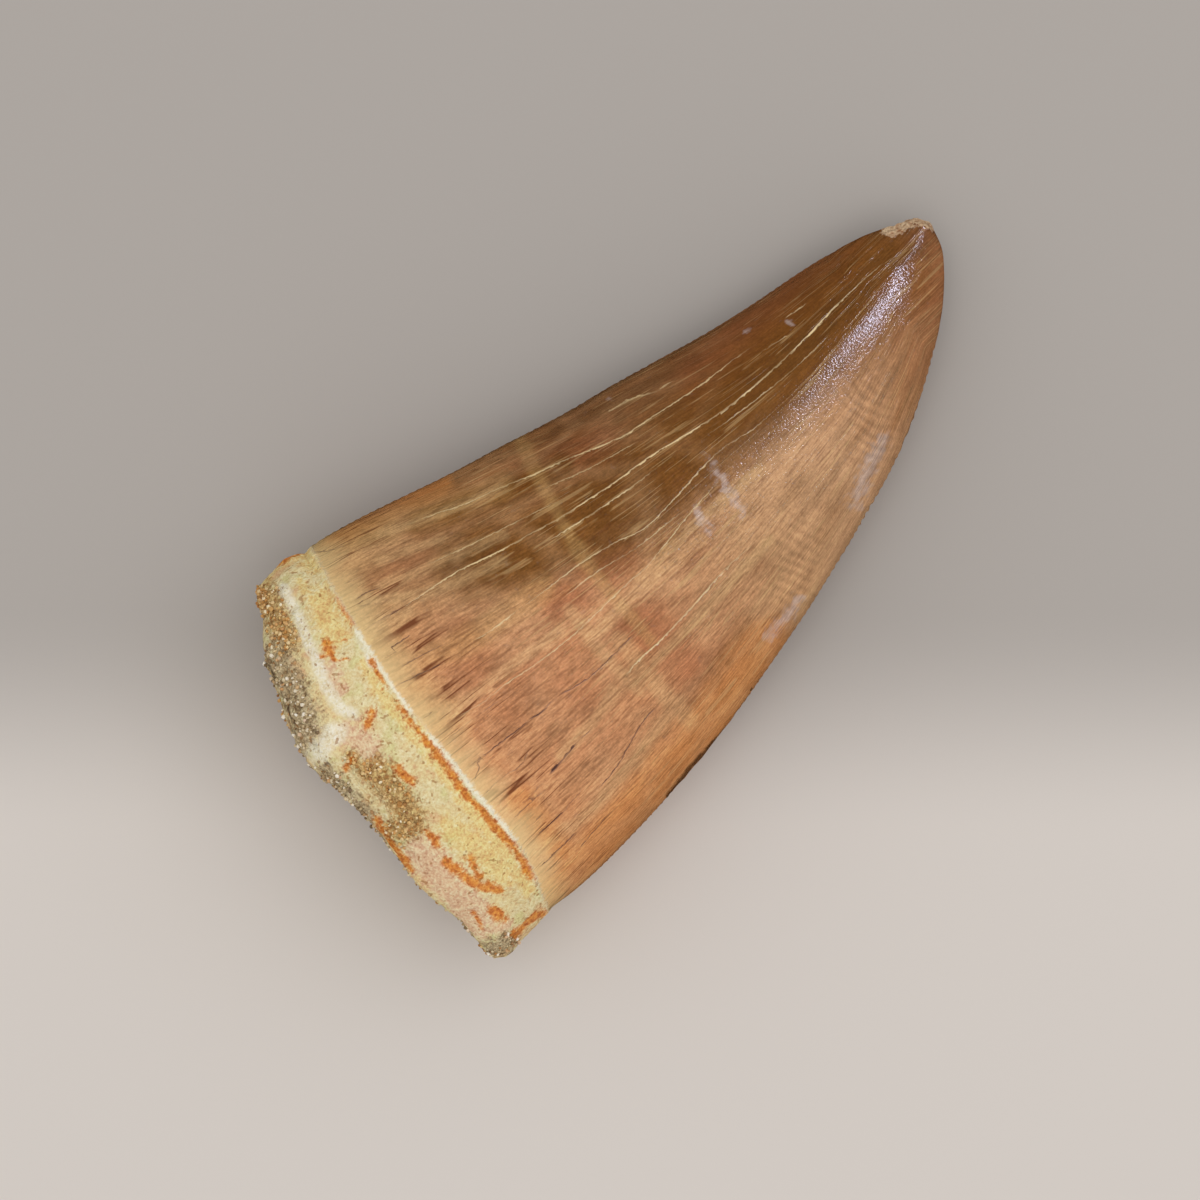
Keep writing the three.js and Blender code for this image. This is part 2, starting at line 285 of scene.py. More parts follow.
# The stains, washes and worn places, each as the reach of the mark round a line of pixels; some of
# them are painted light and shade, as noted below.
# The face that the tooth lies on isn't seen, and has the same marks, mirrored.
STAINS_PX = {
    "ochre_sand": [
        (12, [(268, 596), (276, 618), (288, 640)]),
        (13, [(376, 770), (396, 794), (412, 820), (396, 830)]),
        (7, [(352, 758), (372, 778)]),
    ],
    "olive_sand": [
        (15, [(276, 655), (292, 692), (306, 722), (302, 738)]),
        (8, [(326, 770), (346, 793), (368, 816)]),
        (9, [(488, 952), (508, 941)]),
    ],
    "chalk": [
        (5, [(284, 588), (297, 614), (307, 640), (318, 664)]),
        (6, [(318, 664), (328, 690), (340, 707), (352, 712)]),
        (10, [(318, 752), (336, 732)]),
        (3, [(372, 650), (388, 674), (402, 696), (411, 708)]),
        (3, [(430, 738), (450, 763), (470, 788), (490, 809), (505, 824), (514, 836)]),
        (3, [(358, 634), (372, 668)]),
    ],
    "rust": [
        (4, [(340, 599), (347, 613), (354, 625)]),
        (1.5, [(322, 656), (345, 640)]),
        (1.5, [(334, 660), (346, 659)]),
        (3, [(372, 660), (386, 690)]),
        (3, [(398, 704), (412, 724), (424, 738)]),
        (4.5, [(424, 738), (438, 755), (452, 774), (466, 796)]),
        (3, [(466, 796), (484, 812)]),
        (4.5, [(484, 812), (500, 832), (516, 850), (531, 876)]),
        (4, [(373, 710), (367, 726)]),
        (3, [(352, 758), (346, 768)]),
        (5, [(447, 862), (460, 873), (476, 884), (498, 890)]),
        (4, [(429, 833), (438, 846)]),
        (4, [(470, 858), (479, 876)]),
        (6, [(494, 910), (501, 918)]),
        (3, [(474, 914), (481, 926)]),
        (3, [(262, 572), (300, 552)]),
        (4, [(514, 935), (530, 920), (544, 913)]),
        (4, [(376, 818), (392, 845), (410, 868)]),
        (5, [(396, 768), (412, 782)]),
        (5, [(326, 645), (330, 652)]),
    ],
    "yellow": [
        (12, [(314, 560), (334, 568), (346, 590)]),
        (13, [(322, 600), (328, 622), (336, 634)]),
        (4, [(300, 580), (306, 592)]),
        (4, [(392, 845), (410, 868), (426, 888)]),
        (3, [(440, 902), (465, 932), (480, 950)]),
        (14, [(452, 830), (480, 852), (502, 872)]),
        (5, [(262, 588), (272, 568), (306, 550)]),
        (6, [(560, 800), (530, 842)]),
        (7, [(424, 722), (436, 738)]),
        (7, [(366, 664), (384, 696), (410, 730), (444, 772), (474, 812), (504, 852), (528, 890)]),
        (8, [(340, 590), (352, 620)]),
    ],
    "pink": [
        (12, [(346, 734), (362, 740), (372, 756)]),
        (18, [(420, 852), (450, 888), (478, 922)]),
        (8, [(330, 668), (338, 690)]),
        (6, [(494, 930), (506, 926)]),
    ],
    # The dark olive band on the hind flank: partly stain and partly painted shade.
    "olive": [
        (34, [(880, 275), (800, 350), (720, 425), (650, 485), (600, 520)]),
        (24, [(600, 520), (540, 545), (470, 562)]),
        (10, [(560, 470), (480, 505), (420, 525)]),
    ],
    "khaki": [
        (12, [(318, 548), (370, 530), (430, 512), (500, 486)]),
        (6, [(520, 440), (545, 490), (575, 545), (600, 580), (650, 640)]),
        (12, [(420, 660), (470, 640), (540, 590)]),
        (16, [(400, 660), (430, 700), (450, 720)]),
    ],
    "orange": [
        (20, [(765, 645), (720, 712), (660, 780), (600, 850), (545, 905)]),
        (10, [(330, 535), (400, 500), (440, 482)]),
        (12, [(520, 800), (560, 850)]),
    ],
    "red": [
        (22, [(452, 640), (480, 690)]),
        (26, [(560, 690), (590, 730), (560, 750)]),
        (20, [(640, 620), (690, 660)]),
        (22, [(530, 680), (500, 720)]),
        (16, [(420, 520), (470, 498), (540, 470), (600, 440)]),
        (20, [(700, 380), (780, 320), (850, 262)]),
        (16, [(620, 560), (560, 600)]),
        (14, [(420, 560), (380, 580)]),
    ],
    "pale": [
        (5, [(352, 600), (418, 596), (460, 580), (503, 560)]),
        (4, [(380, 561), (443, 538)]),
        (5, [(380, 586), (430, 566), (463, 551), (503, 535)]),
        (4, [(380, 535), (430, 516), (463, 505), (500, 488)]),
        (5, [(615, 690), (600, 712), (580, 735), (560, 756)]),
        (5, [(770, 540), (735, 578), (700, 615), (655, 660)]),
        (5, [(560, 630), (520, 660), (480, 690), (450, 712)]),
        (6, [(590, 640), (640, 590), (700, 540)]),
        (5, [(760, 470), (700, 520), (640, 580)]),
        (6, [(640, 690), (600, 650), (570, 610)]),
        (8, [(620, 640), (660, 690), (690, 720)]),
        (5, [(540, 850), (600, 800), (680, 700)]),
        (8, [(370, 630), (386, 622), (404, 610)]),
    ],
    # Pale scuffs, partly real wear and partly painted highlights.
    "scuff_and_highlight": [
        (8, [(882, 440), (868, 470), (856, 502)]),
        (6, [(800, 598), (785, 618), (767, 636)]),
        (5, [(708, 460), (724, 484), (742, 512)]),
        (5, [(696, 508), (708, 530)]),
        (3, [(745, 331)]),
        (3, [(789, 322), (792, 328)]),
        (3, [(608, 399)]),
        (3, [(760, 296)]),
    ],
    # Painted shade along the turned-under fore edge, a notch in it and the root's rim.
    "shade": [
        (2.5, [(750, 700), (738, 718), (714, 742), (690, 768), (668, 796)]),
        (3, [(722, 738), (700, 762)]),
        (1.5, [(257, 610), (262, 640), (270, 668), (283, 695), (292, 718), (296, 735)]),
        (2, [(750, 689)]),
        (1.5, [(461, 678)]),
    ],
    "ripple": [(20, [(862, 395), (872, 440)]), (18, [(800, 540), (790, 590)])],
}
SPREAD = 2.0  # a mark fades out this many reaches from its line
STAIN_STEP_PX = 4.0
MIRRORED = (1, -1, 1)
MIRROR_SHIFT_MM = (0, 0.4, 0)  # twice the distance of the mirror from the middle

under_seen = seen_at_px(places * np.array(MIRRORED) + np.array(MIRROR_SHIFT_MM))
marked = np.where(is_upper[:, None], seen, under_seen)
stains = {}
for name, lines in STAINS_PX.items():
    stains[name] = np.zeros(len(places))
    for reach_px, points in lines:
        line = line_through(points, STAIN_STEP_PX)
        spread = SPREAD * reach_px
        low, high = line.min(axis=0) - spread, line.max(axis=0) + spread
        close = np.flatnonzero(((marked > low) & (marked < high)).all(axis=1))
        distance, _, _ = nearest_on(line, marked[close])
        level = np.clip(1 - distance / spread, 0, 1)
        stains[name][close] = np.maximum(stains[name][close], level)

# The broken end of the root, which faces away from the camera, is crusted with both sands.
END_BACKWARD = (0.55, 0.85)  # what faces backward less than the first isn't of it
END_UPWARD = (0.1, 0.35)  # nor what faces up more than the second
END_DEPTH_MM = (2.5, 4.0)
END_CRUSTS = {"ochre_sand": 0.7, "olive_sand": 0.75}
CLUMPS_PER_MM = 0.35

end_face = eased(*END_BACKWARD, -outward[:, 0]) * (1 - eased(*END_UPWARD, outward[:, 2]))
end_face *= 1 - eased(*END_DEPTH_MM, along)
clump = eased(-0.2, 0.3, lumps(places, CLUMPS_PER_MM, 17.0))
for name in stains:
    stains[name] *= 1 - end_face
for name, clumped in (("ochre_sand", clump), ("olive_sand", 1 - clump)):
    stains[name] = np.maximum(stains[name], END_CRUSTS[name] * end_face * clumped)

# The carving. Just inside the cutting edges the faces are pinched, which leaves a low keel
# with fine serrations, worn down on the hind edge.
BLADE_STARTS_MM = (5.5, 8)  # from the root's end, where the edges grow out of the root
KEEL_MM = 0.45
KEEL_PINCH = 0.3
SERRATION_PITCH_MM = 0.4
SERRATION_REACH_MM = 0.18
SERRATION_DRIFT = 3  # radians by which wear shifts them along the edge
HIND_SERRATION_MM, FORE_SERRATION_MM = 0.015, 0.04
WEAR_PER_MM = (0.5, 0, 0)

from_hind = np.hypot(places[:, 1] - hind_y, places[:, 2] - hind_z)
from_fore = np.hypot(places[:, 1] - fore_y, places[:, 2] - fore_z)
on_blade = eased(*BLADE_STARTS_MM, along)
pinch = KEEL_PINCH * ridge(np.minimum(from_hind, from_fore), 0, KEEL_MM) * on_blade
places[:, 2] = edge_height + (places[:, 2] - edge_height) * (1 - pinch)
wear = lumps(places, WEAR_PER_MM, 3.3)
serrated = 1 + np.cos(2 * math.pi * along / SERRATION_PITCH_MM + SERRATION_DRIFT * wear)
for distance, depth, inward in (
    (from_hind, HIND_SERRATION_MM, -1),
    (from_fore, FORE_SERRATION_MM, 1),
):
    notch = depth * serrated * (1 + wear)
    places[:, 1] += inward * notch * ridge(distance, 0, SERRATION_REACH_MM) * on_blade

# The root is rough and pitted, most of all where sand is cemented to it, and the growth of
# the enamel has left shallow waves. The enamel ends in a thin lip with a groove below it.
ROOT_ROUGHNESS_MM = 0.08
SAND_ROUGHNESS_MM = 0.16
ENAMEL_WAVES_MM = 0.025
RIPPLE_MM = 0.006
RIPPLE_CENTRE_PX = (905, 345)
RIPPLE_PITCH_PX = 10.0
FOOT_LIP_MM = 0.05
LIP_AT_MM, LIP_HALF_WIDTH_MM = -0.05, 0.16
GROOVE_AT_MM, GROOVE_HALF_WIDTH_MM = -0.5, 0.2
GROOVE_TO_LIP = 1.2
ROOT_STARTS_MM = (-0.15, 0.1)  # past the foot of the enamel
LEDGE_STARTS_MM = -0.6  # chalk below this is as rough as sand
FLAT_BELOW_MM = 1.5  # the relief fades out towards the floor, so the tooth lies flat on it

on_root = 1 - eased(*ROOT_STARTS_MM, past_foot)
ledge = 0.8 * stains["chalk"] * (past_foot < LEDGE_STARTS_MM)
sandy = np.maximum(stains["olive_sand"], 0.7 * stains["ochre_sand"])
sandy = eased(0.2, 0.7, np.maximum(sandy, ledge))
soft_relief = lumps(places, 1.6, 11.0) + 0.6 * lumps(places, 4.0, 5.0)
hard_relief = lumps(places, 2.6, 31.0) + 0.7 * lumps(places, 5.5, 9.0)
waves = lumps(straight, (0.12, 0.8, 0.8), 2.0)
ripple_phase = np.hypot(*(marked - np.array(RIPPLE_CENTRE_PX)).T) / RIPPLE_PITCH_PX
groove = GROOVE_TO_LIP * ridge(past_foot, GROOVE_AT_MM, GROOVE_HALF_WIDTH_MM)
lip = ridge(past_foot, LIP_AT_MM, LIP_HALF_WIDTH_MM) - groove
relief = on_root * (1 - sandy) * ROOT_ROUGHNESS_MM * soft_relief
relief += on_root * sandy * SAND_ROUGHNESS_MM * hard_relief
relief += (1 - on_root) * ENAMEL_WAVES_MM * waves
relief += RIPPLE_MM * np.sin(2 * math.pi * ripple_phase) * eased(0, 0.8, stains["ripple"])
relief += FOOT_LIP_MM * lip * (1 + 0.6 * lumps(places, 2.5, 8.0))
free = np.where(is_upper, 1.0, eased(0.0, FLAT_BELOW_MM, places[:, 2]))
places += outward * (relief * free)[:, None]

# The worn point: a small slanting break on its hind side, crumbly where the enamel came off.
TIP_BREAK_PX = [(888, 230), (902, 226), (918, 222), (934, 223)]
TIP_BREAK_REACH_PX = 9
TIP_BREAK_RIM = 1.3  # the break has faded out this many reaches from its line
TIP_CRUMBS_MM = 0.1
TIP_POINT_PX = (914, 222)
TIP_POINT_REACH_PX = 13
TIP_RAISED_MM = 0.3
tip_distance, _, _ = nearest_on(line_through(TIP_BREAK_PX), seen)
on_break = np.clip(TIP_BREAK_RIM - tip_distance / TIP_BREAK_REACH_PX, 0, 1)
crumble = lumps(places, 3.5, 21.0) + 0.5 * lumps(places, 8, 4.0)
places += outward * (on_break * TIP_CRUMBS_MM * crumble)[:, None]
from_point = np.hypot(*(seen - np.array(TIP_POINT_PX)).T)
raised = TIP_RAISED_MM * ridge(from_point, 0, TIP_POINT_REACH_PX)
places[:, :2] += image_up * raised[:, None]
tooth.data.vertices.foreach_set("co", (places * MM).ravel())
tooth.data.update()

# The cracks, each as (half width, strength, the pixels that it runs through).
LIGHT_CRACKS_PX = [
    (0.8, 1.0, [(905, 250), (875, 270), (840, 302), (819, 324), (799, 345), (768, 374), (731, 405),
                (697, 428), (656, 453), (636, 467), (613, 484), (560, 518), (536, 531), (500, 551),
                (455, 573), (410, 603), (380, 623)]),
    (0.6, 0.9, [(759, 342), (733, 360), (695, 389), (646, 421), (619, 438), (563, 461), (535, 474),
                (500, 488), (463, 505), (430, 516), (380, 535)]),
    (0.7, 0.9, [(659, 466), (633, 486), (600, 509), (565, 531), (546, 543)]),
    (0.5, 0.8, [(774, 411), (752, 430), (714, 456), (651, 523), (616, 542), (580, 564), (543, 592),
                (518, 610)]),
    (0.6, 0.9, [(518, 610), (486, 634), (473, 641)]),
    (0.5, 0.8, [(736, 464), (719, 481), (692, 511), (649, 564), (629, 582), (600, 610), (571, 637),
                (536, 664), (503, 686), (480, 704), (440, 726)]),
    (0.8, 0.95, [(758, 540), (735, 560), (713, 583), (695, 604), (679, 621), (660, 641),
                 (638, 661), (621, 682)]),
    (0.6, 0.9, [(784, 319), (806, 304)]),
    (0.5, 0.7, [(762, 351), (790, 334)]),
    (0.7, 0.6, [(600, 417), (612, 410), (625, 402), (640, 396), (655, 392), (668, 384),
                (676, 380)]),
    (0.5, 0.7, [(560, 600), (600, 570), (640, 545), (690, 505)]),
    (0.5, 0.6, [(700, 440), (740, 412), (790, 372), (830, 335)]),
    (0.5, 0.6, [(560, 500), (520, 520), (470, 545), (420, 568)]),
    (0.5, 0.6, [(640, 440), (590, 468), (540, 490)]),
]
DARK_CRACKS_PX = [
    (0.6, 0.9, [(468, 767), (516, 731), (530, 719)]),
    (0.9, 1.0, [(530, 719), (543, 711), (554, 698)]),
    (0.5, 0.9, [(554, 698), (588, 678), (622, 646), (637, 631)]),
    (0.6, 0.9, [(518, 808), (533, 793), (548, 776)]),
    (1.1, 1.0, [(548, 776), (559, 764), (578, 741)]),
    (0.6, 0.8, [(578, 741), (593, 728)]),
    (0.6, 0.8, [(533, 839), (564, 811), (588, 780)]),
    (0.6, 0.8, [(538, 869), (556, 852), (578, 831)]),
    (0.6, 0.8, [(593, 794), (616, 768), (642, 723), (661, 703)]),
    (0.7, 0.8, [(386, 651), (412, 634)]),
    (0.6, 0.8, [(382, 660), (406, 646)]),
    (0.6, 0.7, [(361, 632), (380, 620), (402, 607)]),
    (0.6, 0.7, [(353, 601), (368, 592), (381, 587)]),
    (0.6, 0.6, [(312, 553), (330, 550), (346, 545)]),
    (0.6, 0.7, [(385, 694), (404, 682), (420, 674), (446, 662)]),
    (0.5, 0.6, [(446, 740), (480, 714), (500, 700)]),
    (0.5, 0.7, [(346, 583), (366, 575)]),
    (0.6, 0.7, [(373, 606), (392, 598)]),
    (0.5, 0.7, [(358, 608), (372, 602)]),
    (0.5, 0.7, [(400, 668), (428, 652), (450, 642)]),
    (0.5, 0.7, [(424, 718), (432, 712)]),
    (0.5, 0.7, [(482, 797), (500, 779), (520, 766), (530, 748)]),
    (0.5, 0.7, [(512, 820), (530, 803), (550, 785)]),
    (0.5, 0.6, [(525, 830), (545, 812)]),
    (0.5, 0.6, [(545, 880), (566, 862), (590, 836), (610, 812)]),
    (0.5, 0.6, [(480, 757), (478, 770), (474, 783)]),
]
CRACK_REACH_PX = 16  # corners further off don't know of the crack
UNCRACKED_MM = 9.0  # stands for no crack near
NARROWING = 5  # a crack narrows over the last fifth of its length
FADING = 8  # and fades over the last eighth
BLUNTNESS = 0.6

crack_side = np.full(len(places), UNCRACKED_MM)
crack_distance = np.full(len(places), UNCRACKED_MM)
crack_width = np.zeros(len(places))
is_light = np.zeros(len(places))
crack_strength = np.zeros(len(places))
for light, cracks in ((0.0, DARK_CRACKS_PX), (1.0, LIGHT_CRACKS_PX)):
    for half_width_px, strength, points in cracks:
        line = line_through(points)
        low, high = line.min(axis=0) - CRACK_REACH_PX, line.max(axis=0) + CRACK_REACH_PX
        close = np.flatnonzero(((marked > low) & (marked < high)).all(axis=1))
        distance, side, share = nearest_on(line, marked[close])
        nearer = distance / PX_PER_MM < crack_distance[close]
        close, distance, side, share = (a[nearer] for a in (close, distance, side, share))
        from_end = np.minimum(share, 1 - share)
        taper = np.minimum(1, NARROWING * from_end) ** BLUNTNESS
        crack_distance[close] = distance / PX_PER_MM
        crack_side[close] = side / PX_PER_MM
        crack_width[close] = half_width_px * taper / PX_PER_MM
        is_light[close] = light
        crack_strength[close] = strength * np.minimum(1, FADING * from_end)


def note_on(mesh, name, *columns):
    """Stores three values at each corner for the material to read."""
    values = np.stack(np.broadcast_arrays(*columns), axis=1)
    note = mesh.attributes.new(name, "FLOAT_VECTOR", "POINT")
    note.data.foreach_set("vector", values.astype(np.float32).ravel())


tooth_notes = {
    "straight": straight.T,
    "place": (along / LENGTH_MM, across, past_foot),
    "crack": (crack_side, crack_distance, crack_width),
    "crack_kind": (is_light, crack_strength, on_break),
    "crusts": (stains["ochre_sand"], stains["olive_sand"], stains["chalk"]),
    "stains": (stains["rust"], stains["yellow"], stains["pink"]),
    "washes": (stains["olive"], stains["khaki"], stains["orange"]),
    "patches": (stains["red"], stains["pale"], stains["scuff_and_highlight"]),
    "shades": (stains["shade"], ripple_phase, stains["ripple"]),
}
for name, columns in tooth_notes.items():
    note_on(tooth.data, name, *columns)

# Fossil enamel: apatite, finely ribbed along the crown by its growth, stained brown by the
# ground it lay in and polished by it. The root is bare chalky dentine with rust stains.
APATITE_IOR = 1.63


def linear(code):
    """The linear colour of an sRGB hex code."""
    channels = [int(code[i : i + 2], 16) / 255 for i in (1, 3, 5)]
    curved = [c / 12.92 if c <= 0.04045 else ((c + 0.055) / 1.055) ** 2.4 for c in channels]
    return (*curved, 1.0)


def new_material(name):
    """A material without nodes, and its node tree."""
    material = bpy.data.materials.new(name)
    material.use_nodes = True
    material.node_tree.nodes.clear()
    return material, material.node_tree


def add(kind, *inputs, **settings):
    """Adds a node with its settings, and gives its open inputs values or links in order.

    It goes into the tree that is being built. An input of None stays as it is. The node's open
    outputs come back, or the only one.
    """
    made = tree.nodes.new("ShaderNode" + kind)
    stops = settings.pop("stops", None)
    for name, value in settings.items():
        setattr(made, name, value)
    if stops:
        while len(made.color_ramp.elements) < len(stops):
            made.color_ramp.elements.new(0.5)
        for element, (position, code) in zip(made.color_ramp.elements, stops):
            element.position = position
            element.color = linear(code)
    for socket, value in zip([s for s in made.inputs if s.enabled], inputs):
        if isinstance(value, bpy.types.NodeSocket):
            tree.links.new(value, socket)
        elif value is not None:
            socket.default_value = value
    outputs = [s for s in made.outputs if s.enabled]
    return outputs[0] if len(outputs) == 1 else outputs


enamel, tree = new_material("fossil_enamel")
notes = {}
for name in tooth_notes:
    notes[name] = add("Attribute", attribute_name=name, attribute_type="GEOMETRY")[1]
share_along, across_note, foot_note = add("SeparateXYZ", notes["place"])
side_note, near_note, width_note = add("SeparateXYZ", notes["crack"])
light_note, strength_note, tip_note = add("SeparateXYZ", notes["crack_kind"])
ochre_note, olive_sand_note, chalk_note = add("SeparateXYZ", notes["crusts"])
rust_note, yellow_note, pink_note = add("SeparateXYZ", notes["stains"])
olive_wash_and_shade_note, khaki_note, orange_note = add("SeparateXYZ", notes["washes"])
red_note, pale_note, scuff_and_highlight_note = add("SeparateXYZ", notes["patches"])
shade_note, ripple_note, rippled_note = add("SeparateXYZ", notes["shades"])
object_place = add("TexCoord")[3]

# The grain of the enamel runs along the crown, and each is drawn by noise that is stretched
# along it: (changes per mm along and across, detail, roughness).
ENAMEL_GRAINS = {
    "fine_ribs": ((1.5, 9.5, 9.5), 2.0, 0.6),  # ribs 0.13 mm apart
    "wide_ribs": ((0.9, 5.0, 5.0), 3.0, 0.65),  # the same, closer to the point
    "dark_ribs": ((0.7, 7.0, 7.0), 2.0, 0.5),
    "streaks": ((0.07, 0.9, 0.9), 3.0, 0.5),
    "bands": ((0.22, 0.35, 0.35), 3.0, 0.5),
    "threads": ((0.05, 2.4, 2.4), 1.0, 0.5),
    "thread_gaps": ((0.4, 1.6, 1.6), 2.0, 0.5),
    "beads": ((3.0, 3.0, 3.0), 2.0, 0.55),
}
# The root and the sand have no direction: (changes per mm, detail, roughness).
STONE_GRAINS = {
    "dust": (8.0, 2.0, 0.55),
    "grit": (4.2, 3.0, 0.65),
    "crumbs": (2.0, 3.0, 0.65),
    "clouds": (0.6, 4.0, 0.6),
}
grain = {}
for name, (per_mm, detail, roughness) in ENAMEL_GRAINS.items():
    stretched = add("Mapping", notes["straight"], None, None, per_mm)
    value = add("TexNoise", stretched, 1.0, detail, roughness)[0]
    grain[name] = add("MapRange", value, 0.3, 0.7)
for name, (per_mm, detail, roughness) in STONE_GRAINS.items():
    value = add("TexNoise", object_place, per_mm / MM, detail, roughness)[0]
    grain[name] = add("MapRange", value, 0.3, 0.7)

to_tip = add("MapRange", share_along, 0.55, 0.85)
ribs = add("Mix", to_tip, grain["fine_ribs"], grain["wide_ribs"], data_type="FLOAT")

# The hind flank is dark brown and the fore side a paler salmon brown, and both fade to tan at the
# root. The hind flank's darkness is partly its own stain and partly painted shade, for the side
# turned away from the light.
edge_of_dark = add("MapRange", share_along, 0.2, 0.5, 0.42, 0.06)
moved_across = add("Math", across_note, edge_of_dark, operation="SUBTRACT")
moved_across = add("Math", grain["streaks"], 0.4, moved_across, operation="MULTIPLY_ADD")
is_hind = add("MapRange", moved_across, 0.02, 0.38, interpolation_type="SMOOTHSTEP")
moved_along = add("Math", grain["bands"], 0.1, share_along, operation="MULTIPLY_ADD")
fore_colour = add("ValToRGB", moved_along, stops=[
    (0.16, "#dfae7c"), (0.24, "#c98c5e"), (0.33, "#c08a60"), (0.42, "#b47a52"),
    (0.52, "#b27f58"), (0.64, "#b68a62"), (0.78, "#bc906a"), (0.9, "#a4754f"), (1.0, "#96623f"),
])[0]
hind_colour_and_shade = add("ValToRGB", moved_along, stops=[
    (0.16, "#d2ac74"), (0.25, "#bd9262"), (0.34, "#a37850"), (0.44, "#95673d"),
    (0.56, "#815633"), (0.7, "#7b5230"), (0.85, "#784e2e"), (1.0, "#7f5233"),
])[0]
crown = add("Mix", is_hind, fore_colour, hind_colour_and_shade, data_type="RGBA")

# The washes of colour on the crown follow its grain, so their rims are streaky:
# (note, colour, strength, grain that frays it, and how much).
for note, code, strength, frayed_by, share in (
    (red_note, "#954a2a", 0.32, "bands", -0.4),
    (orange_note, "#cf8646", 0.6, "bands", -0.3),
    # The olive wash is partly stain and partly painted shade on the hind flank.
    (olive_wash_and_shade_note, "#6c4214", 0.85, "streaks", -0.12),
    (khaki_note, "#b9935a", 0.35, "streaks", -0.4),
    (pale_note, "#d4ae7a", 0.3, "wide_ribs", -0.4),
    # The scuffs are partly pale wear and partly painted highlights.
    (scuff_and_highlight_note, "#cfc0bc", 0.4, "crumbs", -0.9),
):
    frayed = add("Math", grain[frayed_by], share, note, operation="MULTIPLY_ADD")
    amount = add("MapRange", frayed, -0.15, 0.6, 0.0, strength, interpolation_type="SMOOTHSTEP")
    crown = add("Mix", amount, crown, linear(code), data_type="RGBA")

# Soft pale seams part the patches in which the enamel was laid down.
patch_place = add("Mapping", notes["straight"], None, None, (0.26, 0.36, 0.36))
patch_shift = add("TexNoise", patch_place, 1.6, 2.0)[1]
patch_place = add("Mix", 0.3, patch_place, patch_shift, data_type="VECTOR")
patch_gap = add("TexVoronoi", patch_place, 1.0, feature="DISTANCE_TO_EDGE")
seam = add("MapRange", patch_gap, 0.0, 0.16, 0.16, 0.0, interpolation_type="SMOOTHSTEP")
seam_fades = add("MapRange", share_along, 0.5, 0.75, 1.0, 0.0)
seam = add("Math", seam, seam_fades, operation="MULTIPLY")
crown = add("Mix", seam, crown, linear("#d0a274"), data_type="RGBA")

# The ribs, darker in their furrows, and clouds of dust.
for name, strength in (
    ("streaks", 0.15), ("bands", 0.12), ("clouds", 0.1), ("crumbs", 0.07), ("dust", 0.12),
):
    crown = add("Mix", strength, crown, grain[name], data_type="RGBA", blend_type="OVERLAY")
crown = add("Mix", 0.25, crown, ribs, data_type="RGBA", blend_type="OVERLAY")
furrow = add("MapRange", grain["dark_ribs"], 0.4, 0.2, 0.0, 0.3)
crown = add("Mix", furrow, crown, linear("#5f3219"), data_type="RGBA")

ripple = add("Math", grain["clouds"], 0.5, ripple_note, operation="MULTIPLY_ADD")
ripple = add("Math", ripple, 2 * math.pi, operation="MULTIPLY")
ripple = add("Math", ripple, operation="SINE")
ripple = add("Math", ripple, rippled_note, operation="MULTIPLY")
ripple_tone = add("Math", ripple, 0.07, 0.5, operation="MULTIPLY_ADD")
crown = add("Mix", 1.0, crown, ripple_tone, data_type="RGBA", blend_type="OVERLAY")

# Hairlines where the ribs have parted: dark ones near the root, pale ones further out.
off_thread = add("Math", grain["threads"], 0.5, operation="SUBTRACT")
off_thread = add("Math", off_thread, operation="ABSOLUTE")
thread = add("MapRange", off_thread, 0.015, 0.08, 1.0, 0.0)
kept = add("MapRange", grain["thread_gaps"], 0.45, 0.6)
thread = add("Math", thread, kept, operation="MULTIPLY")
dark_share = add("MapRange", foot_note, 2.5, 8.0, 0.9, 0.0)
dark_thread = add("Math", thread, dark_share, operation="MULTIPLY")
crown = add("Mix", dark_thread, crown, linear("#6a351a"), data_type="RGBA")
pale_share = add("MapRange", foot_note, 3.0, 8.0, 0.0, 0.28)
pale_thread = add("Math", thread, pale_share, operation="MULTIPLY")
crown = add("Mix", pale_thread, crown, linear("#d8b47c"), data_type="RGBA")

# The dentine of the root is creamy stone. Each stain is two colours of grain, and its rim is
# broken up into grains: (note, pale and dark colour, the grain inside it, strength).
root = add("ValToRGB", grain["clouds"], stops=[
    (0.15, "#d9b384"), (0.4, "#dcc692"), (0.6, "#e0cea0"), (0.85, "#d2c48c"),
])[0]
fray = add("Mix", 0.4, grain["crumbs"], grain["grit"], data_type="FLOAT")
for note, pale_code, dark_code, grain_name, strength in (
    (yellow_note, "#ead68a", "#dcb062", "crumbs", 0.6),
    (pink_note, "#e2c4a0", "#d2a484", "crumbs", 0.8),
    (ochre_note, "#e0bc7e", "#a4743a", "grit", 0.9),
    (olive_sand_note, "#dfcaa2", "#8a6c46", "crumbs", 0.95),
    (chalk_note, "#f6efdc", "#e2d8ba", "crumbs", 0.75),
    (rust_note, "#e29238", "#bb5a16", "grit", 0.9),
):
    level = add("Math", fray, -0.8, note, operation="MULTIPLY_ADD")
    amount = add("MapRange", level, -0.2, 0.35, 0.0, strength, interpolation_type="SMOOTHSTEP")
    stain = add("Mix", grain[grain_name], linear(dark_code), linear(pale_code), data_type="RGBA")
    root = add("Mix", amount, root, stain, data_type="RGBA")
root = add("Mix", 0.2, root, grain["grit"], data_type="RGBA", blend_type="OVERLAY")
root = add("Mix", 0.25, root, grain["dust"], data_type="RGBA", blend_type="OVERLAY")
SPECKS_PER_MM = 3.4
speck_noise = add("TexNoise", object_place, SPECKS_PER_MM / MM, 1.0, 0.5)[0]
speck = add("MapRange", speck_noise, 0.66, 0.7, 0.0, 0.6)
root = add("Mix", speck, root, linear("#9a6228"), data_type="RGBA")

